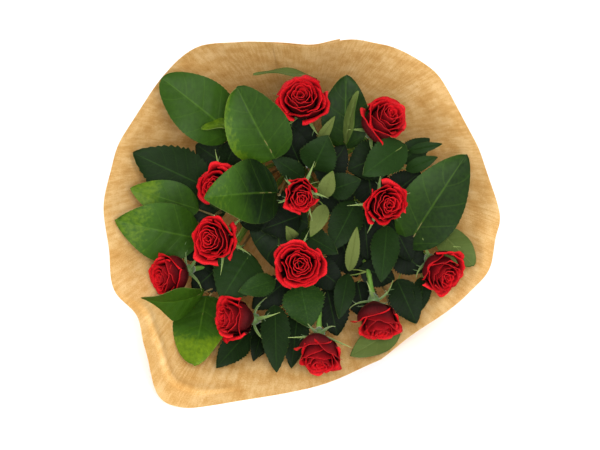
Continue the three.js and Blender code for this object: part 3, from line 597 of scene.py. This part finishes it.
# The stalks are smooth and green, with flushes of red about 8 mm long.
stalk_green, tree, shader = material("leaf_stalk", Roughness=0.5)
flush = add(tree, "ShaderNodeTexNoise", {"Scale": 120.0})
colour = add(tree, "ShaderNodeValToRGB", {"Fac": flush.outputs["Fac"]}, [(0.4, "#55752F"), (0.7, "#74642F")])
tree.links.new(colour.outputs["Color"], shader.inputs["Base Color"])


def stalk(start, blade_points, radius, slot):
    """A leaf's stalk: a sagging tube from its joint that runs on as the rib under the blade's first part."""
    middle = blade_points.shape[1] // 2
    rows = len(blade_points)
    inside = blade_points[rows // 12, middle]
    further = blade_points[rows // 3, middle] - [0, 0, 0.7]
    path = curve([start, (start + inside) / 2 - [0, 0, 3], inside - [0, 0, 0.6], further], 18)
    return tube(path, np.linspace(radius, radius * 0.4, 18), 8, slot=slot)


for number, (rose, at, leaflets) in enumerate(ROSE_LEAVES, start=1):
    place, faces, radius, bent = ROSES[rose - 1]
    faces = unit(np.array(faces, float))
    top = bloom_bottom(f"rose_{rose:02d}", faces, radius) - faces * (HIP_HEIGHT + GAP)
    path = curve(stem_route(place, top, faces), 101)
    joint = path[int(100 * at)]
    way = unit(path[int(100 * at) + 1] - joint)
    reach = [np.array(base) - joint for base, *_ in leaflets]
    start = joint + unit(sum(unit(r - way * np.dot(r, way)) for r in reach)) * 1.8
    patches = []
    for base, tip, width, light in leaflets:
        leaf = {"base": base, "tip": tip, "width": width, "light": light, "seed": rng.uniform(0, 3)}
        skins = (1, 0) if light == 1 else (0, 1)
        plate_patch, points = blade(leaf, 57, 13, 15, 0.13, skins)
        patches += [plate_patch, stalk(start, points, 0.8, 2)]
    piece(f"rose_leaf_{number:02d}_leaflets", patches, [rose_leaf_top, rose_leaf_under, stalk_green],
          "rose_leaf", f"rose_leaf_{number:02d}")


# ---- Salal sprigs ----
# Seven woody stems of evergreen salal, with big oval leaves that are leathery and waxed above, pale below.
# The leaves stand alternately on short stalks; their margins are finely toothed and lighter than the blade.

SALAL_STEM_RADIUS = 1.7
# Place in the band, end of the woody stem, and leaves. Each leaf's painted light runs from dark green in
# shade to bright green in light; left, right and at_tip paint more light there, and a smaller round gives a
# blunter leaf.
SALAL = [
    ((2, 120), (-44, -12, 238), [
        dict(base=(-65, 10, 240), tip=(-131, 62, 262), width=58, roll=5, bow=7, fold=0.12, light=0.35,
             round=0.5),
        dict(base=(-24, -14, 254), tip=(-59, 52, 280), width=60, roll=-8, bow=6, fold=0.3, light=0.25,
             right=0.35, round=0.5),
        dict(base=(-58, 16, 254), tip=(-93, 14, 266), width=24, roll=62, bow=3, fold=0.1, light=0.6)]),
    ((1, 120), (-20, -48, 236), [
        dict(base=(-22, -46, 248), tip=(-89, -52, 284), width=62, roll=8, bow=8, fold=0.35, light=0,
             at_tip=0.5),
        dict(base=(-22, -42, 216), tip=(-20, -122, 220), width=58, light=0)]),
    ((2, 180), (-84, -68, 222), [
        dict(base=(-97, -90, 234), tip=(-175, -72, 262), width=58, roll=-6, bow=7, fold=0.18, light=0.3,
             at_tip=0.25),
        dict(base=(-98, -62, 232), tip=(-162, -42, 252), width=38, roll=4, bow=4, fold=0.15, light=0.3,
             at_tip=0.3),
        dict(base=(-74, -66, 204), tip=(-112, -42, 206), width=42, light=0)]),
    ((2, 240), (-82, -138, 232), [
        dict(base=(-91, -146, 230), tip=(-100, -208, 276), width=52, roll=8, bow=2, fold=0.05, light=0.25,
             at_tip=0.4, round=0.55),
        dict(base=(-92, -141, 246), tip=(-150, -146, 270), width=44, roll=-48, bow=9, fold=0.15,
             light=0.45)]),
    ((2, 0), (98, -84, 220), [
        dict(base=(103, -98, 230), tip=(158, -10, 258), width=60, roll=-6, bow=8, fold=0.2, light=0.1,
             right=0.2, round=0.65),
        dict(base=(136, -84, 228), tip=(166, -116, 248), width=30, roll=-10, bow=3, fold=0.1, light=0.3,
             round=0.5, pale=True)]),
    ((2, 60), (36, 6, 222), [
        dict(base=(43, -3, 230), tip=(44, 66, 252), width=46, roll=0, bow=5, fold=0.15, light=0.1, round=0.6),
        dict(base=(16, 64, 236), tip=(-45, 68, 240), width=24, roll=70, bow=4, fold=0.1, light=0.5,
             pale=True),
        dict(base=(44, 0, 238), tip=(55, 50, 262), width=20, roll=-58, bow=2, fold=0.1, light=0.5,
             pale=True)]),
    ((2, 300), (84, -142, 214), [
        dict(base=(97, -176, 228), tip=(48, -202, 251), width=28, roll=10, bow=0, fold=0.1, light=0.4,
             pale=True)]),
]

# Salal leaf is leathery: a thin wax gives it a broad soft shine above, and it is dull and paler below.
# The darkest and brightest greens of both salal skins are painted shade and painted light.
salal_top = leaf_material("waxed_salal_skin", "#0B1B05", "#2A470A", "#7F9814", "#466618", 9.0,
                          Roughness=0.5, Specular_IOR_Level=0.1)
salal_under = leaf_material("salal_underside", "#38481C", "#4C5A28", "#646C38", "#6E7A42", 9.0,
                            Roughness=0.65, Specular_IOR_Level=0.12)

# Young bark: dull, brown over green, in flecks of about 3 mm.
woody, tree, shader = material("brown_green_twig", Roughness=0.7)
bark = add(tree, "ShaderNodeTexNoise", {"Scale": 300.0, "Detail": 4.0})
colour = add(tree, "ShaderNodeValToRGB", {"Fac": bark.outputs["Fac"]}, [(0.35, "#5C5A2C"), (0.65, "#7C6238")])
tree.links.new(colour.outputs["Color"], shader.inputs["Base Color"])

for number, (place, end, leaves) in enumerate(SALAL, start=1):
    end = np.array(end, float)
    way = unit(end - band_offset(place))
    path = curve(stem_route(place, end, way), 80)
    patches = [tube(path, np.linspace(SALAL_STEM_RADIUS * 1.1, 1.1, 80), 10, slot=2)]
    patches[0]["cap_slot"] = 3
    for leaf in leaves:
        skins = (1, 0) if leaf.get("pale") else (0, 1)
        plate_patch, points = blade({**leaf, "seed": rng.uniform(0, 3)}, 61, 17, 40, 0.02, skins)
        patches += [plate_patch, stalk(end - way, points, 1.1, 2)]
    piece(f"salal_sprig_{number}_leaves", patches, [salal_top, salal_under, woody, pith], "salal_leaf",
          f"salal_sprig_{number}")


# ---- Paper wrap ----
# One sheet of brown kraft paper rolled in a cone, gathered at the neck and lapped over its own edge at the
# top. The pulp leaves long soft fibre streaks and mottling, and handling leaves radial folds and one crease.

LIFT = BUNCH_AXES[:, 2]                    # straight up, in the bunch's axes
PAPER_THICKNESS = 0.3
PAPER_NECK = 18.8                          # radius round the stems
PAPER_BEHIND = 46                          # length behind the band
PAPER_TAIL_FLARE = 0.12                    # growth of the radius for each millimetre behind the band
PAPER_WAIST = 0.62                         # width of the cone's control ring, as a share of the rim's
PAPER_WAIST_AT = 0.62                      # and its distance from the neck, as a share of the rim's
PAPER_SAG = 22
PAPER_LAP = 0.075                          # share of a turn by which the sheet laps over itself
LAP_STEP = 1.7                             # how far one turn brings the sheet outwards, to clear itself
# The rim in the bunch's axes, from the top round by the right.
RIM = [
    (-27, 99, 231), (6, 97, 230), (33, 100, 230), (64, 101, 230), (88, 96, 232), (120, 79, 236),
    (138, 57, 238), (165, 12, 240), (177, -19, 243), (189, -65, 246), (188, -88, 248), (180, -120, 248),
    (159, -143, 246), (117, -176, 236), (77, -207, 239), (19, -227, 274), (-56, -239, 295), (-107, -245, 305),
    (-128, -233, 304), (-141, -191, 298), (-150, -164, 290), (-171, -139, 280), (-178, -101, 270),
    (-185, -54, 258), (-178, -16, 250), (-162, 16, 244), (-132, 64, 238), (-99, 95, 234), (-58, 97, 232),
]


def rim_point(share):
    """The rim at shares of a turn: a closed curve through the rim's points."""
    p = np.array(RIM, float)
    n = len(p)
    where = (share % 1) * n
    i = where.astype(int) % n
    return between(p[i - 1], p[i], p[(i + 1) % n], p[(i + 2) % n], where - np.floor(where))


def paper_points(a, s, outwards=0.0):
    """The paper at shares a of a turn and s from its neck (below 0 behind it) to its rim: a parabola from the
    neck ring through a waist to the rim, sagging where it faces down, with shallow radial folds and one
    crease across its lowest flap, and never below the surface that the bunch lies on."""
    rim = rim_point(a)
    reach = rim @ AXIS
    radial = rim - reach[:, None] * AXIS
    size = np.linalg.norm(radial, axis=1)[None, :, None]
    way = unit(radial)
    shares = s[:, None, None]
    waist = AXIS * PAPER_WAIST_AT * reach[:, None] + way * PAPER_WAIST * size
    cone = (1 - shares) ** 2 * PAPER_NECK * way + 2 * shares * (1 - shares) * waist + shares**2 * rim
    tail = way * (PAPER_NECK - PAPER_TAIL_FLARE * shares * PAPER_BEHIND) + AXIS * shares * PAPER_BEHIND
    points = np.where(shares < 0, tail, cone)
    down = np.maximum(0, -(way @ LIFT))[None, :, None]
    points = points - LIFT * PAPER_SAG * down**2 * np.sin(np.pi * np.clip(shares, 0, 1) ** 0.7)
    turn = 2 * np.pi * a[None, :]
    depth = np.clip(s, 0, 1)[:, None]
    fold = (1.6 * np.sin(9 * turn + 3 * depth) * depth + 1.0 * np.sin(17 * turn - 2 * depth + 1) * depth
            + 0.55 * np.sin(31 * turn + 5 * depth + 2) * (1 - depth)
            + 0.7 * np.sin(23 * turn) * np.exp(-6 * depth))
    points = points + way * (LAP_STEP * a + outwards + fold * (1 - 0.3 * depth))[..., None]
    around = a[None, :] % 1 - 0.61
    crease = np.exp(-((s[:, None] - 0.905 - 6 * around**2) / 0.014) ** 2) * np.exp(-(around / 0.1) ** 4)
    points = points + (3.4 * AXIS - way) * crease[..., None]
    height = TIE[2] / MM + points @ LIFT
    return points + LIFT * np.maximum(0.35 - height, 0)[..., None]


# Unbleached kraft paper: matt, with fibres drawn out along the cone, clouds of about 4.5 cm and 2.4 mm grain.
kraft, tree, shader = material("brown_kraft_paper", Roughness=0.78, Specular_IOR_Level=0.25)
uv = add(tree, "ShaderNodeUVMap", uv_map="UVMap")
long_way = add(tree, "ShaderNodeMapping", {"Vector": uv.outputs["UV"], "Scale": (7.0, 240.0, 1.0)})
fibre = add(tree, "ShaderNodeTexNoise", {"Vector": long_way.outputs["Vector"], "Scale": 1.6, "Detail": 6.0})
blotch = add(tree, "ShaderNodeTexNoise", {"Scale": 22.0, "Detail": 4.0, "Roughness": 0.55})
pulp = add(tree, "ShaderNodeTexNoise", {"Scale": 420.0, "Detail": 5.0})
level = add(tree, "ShaderNodeMath", {0: fibre.outputs["Fac"], 1: 0.32, 2: 0.05}, operation="MULTIPLY_ADD")
for noise, weight in ((blotch, 0.42), (pulp, 0.4)):
    level = add(tree, "ShaderNodeMath", {0: noise.outputs["Fac"], 1: weight, 2: level.outputs[0]},
                operation="MULTIPLY_ADD")
colour = add(tree, "ShaderNodeValToRGB", {"Fac": level.outputs[0]},
             [(0.44, "#B17F3B"), (0.6, "#C89C5C"), (0.76, "#DDBB84")])
tree.links.new(colour.outputs["Color"], shader.inputs["Base Color"])
bump = add(tree, "ShaderNodeBump", {"Height": level.outputs[0], "Strength": 0.3, "Distance": 0.0008})
tree.links.new(bump.outputs["Normal"], shader.inputs["Normal"])

turns_round = np.linspace(1 + PAPER_LAP, 0, 300)
up_cone = np.concatenate([np.linspace(-1, 0, 14, endpoint=False), np.linspace(0, 1, 76)])
sheet_points = paper_points(turns_round, up_cone)
wrap = piece("kraft_paper_wrap", [plate(sheet_points, PAPER_THICKNESS, 0, 0)], [kraft], "kraft_paper",
             "paper_wrap")


# ---- Tape ----
# A short strip of clear glossy tape that holds the lapping edge of the paper down just in front of the band.

TAPE_THICKNESS = 0.12
TAPE_OUTSIDE = 0.55                        # from the paper's mid-surface to the tape's

# Clear tape shows the paper's own brown under a smooth glossy film, with a haze of about 5 mm.
tape, tree, shader = material("clear_sticky_tape", Roughness=0.15, Coat_Weight=0.6, Coat_Roughness=0.1)
haze = add(tree, "ShaderNodeTexNoise", {"Scale": 200.0})
colour = add(tree, "ShaderNodeValToRGB", {"Fac": haze.outputs["Fac"]}, [(0.3, "#C79E63"), (0.7, "#D9B57C")])
tree.links.new(colour.outputs["Color"], shader.inputs["Base Color"])

tape_turns = 1 + PAPER_LAP + np.linspace(0.12, -0.12, 33)
lower = tape_turns > 1 + PAPER_LAP + 0.01      # the part past the lap's edge lies on the sheet's other end
tape_points = paper_points(tape_turns - lower, np.linspace(0.012, 0.085, 12), TAPE_OUTSIDE)
piece("tape_strip", [plate(tape_points, TAPE_THICKNESS, 0, 0)], [tape], "clear_tape", "wrap_tape")


# ---- Floor, light and camera ----
# A plain white floor, large soft lamps from the front, the left and behind, and a camera that looks down
# into the mouth.

FACE_MIDDLE = TIE + (np.array([0, -77, 300]) @ BUNCH_AXES) * MM
CAMERA_DISTANCE = 1.3                       # from the face of the bunch
VIEW_WIDTH = 0.552                          # width of the view at the face
SENSOR_WIDTH = 36                           # of Blender's camera, in millimetres


def lamp(name, place, aim, power, size):
    data = bpy.data.lights.new(name, "AREA")
    data.energy = power
    data.size = size
    made = bpy.data.objects.new(name, data)
    made.location = place
    made.rotation_euler = (Vector(aim) - Vector(place)).to_track_quat("-Z", "Y").to_euler()
    bpy.context.scene.collection.objects.link(made)


floor_mesh = bpy.data.meshes.new("floor")
floor_mesh.from_pydata([(-6, -6, 0), (6, -6, 0), (6, 6, 0), (-6, 6, 0)], [], [(0, 1, 2, 3)])
floor = bpy.data.objects.new("floor", floor_mesh)
bpy.context.scene.collection.objects.link(floor)
# Matt white board.
white, tree, shader = material("white_floor", Roughness=0.9, Base_Color=srgb("#FAFAFA"))
floor_mesh.materials.append(white)

lamp("key", FACE_MIDDLE + [0.15, -1.55, 0.95], FACE_MIDDLE, 42, 0.9)
lamp("fill", FACE_MIDDLE + [-1.4, -1.0, 0.9], FACE_MIDDLE, 16, 1.4)
lamp("back", FACE_MIDDLE + [0.2, 1.4, 1.5], FACE_MIDDLE, 18, 1.4)

world = bpy.data.worlds.new("studio")
bpy.context.scene.world = world
world.use_nodes = True
world.node_tree.nodes["Background"].inputs["Color"].default_value = srgb("#FFFFFF")
world.node_tree.nodes["Background"].inputs["Strength"].default_value = 0.6
bpy.context.scene.view_settings.view_transform = "Standard"

camera_data = bpy.data.cameras.new("camera")
camera_data.lens = SENSOR_WIDTH * CAMERA_DISTANCE / VIEW_WIDTH
camera = bpy.data.objects.new("camera", camera_data)
camera.location = FACE_MIDDLE + BUNCH_AXES[2] * CAMERA_DISTANCE
camera.rotation_euler = (np.pi / 2 - FACE_LEAN, 0, 0)
bpy.context.scene.collection.objects.link(camera)
bpy.context.scene.camera = camera
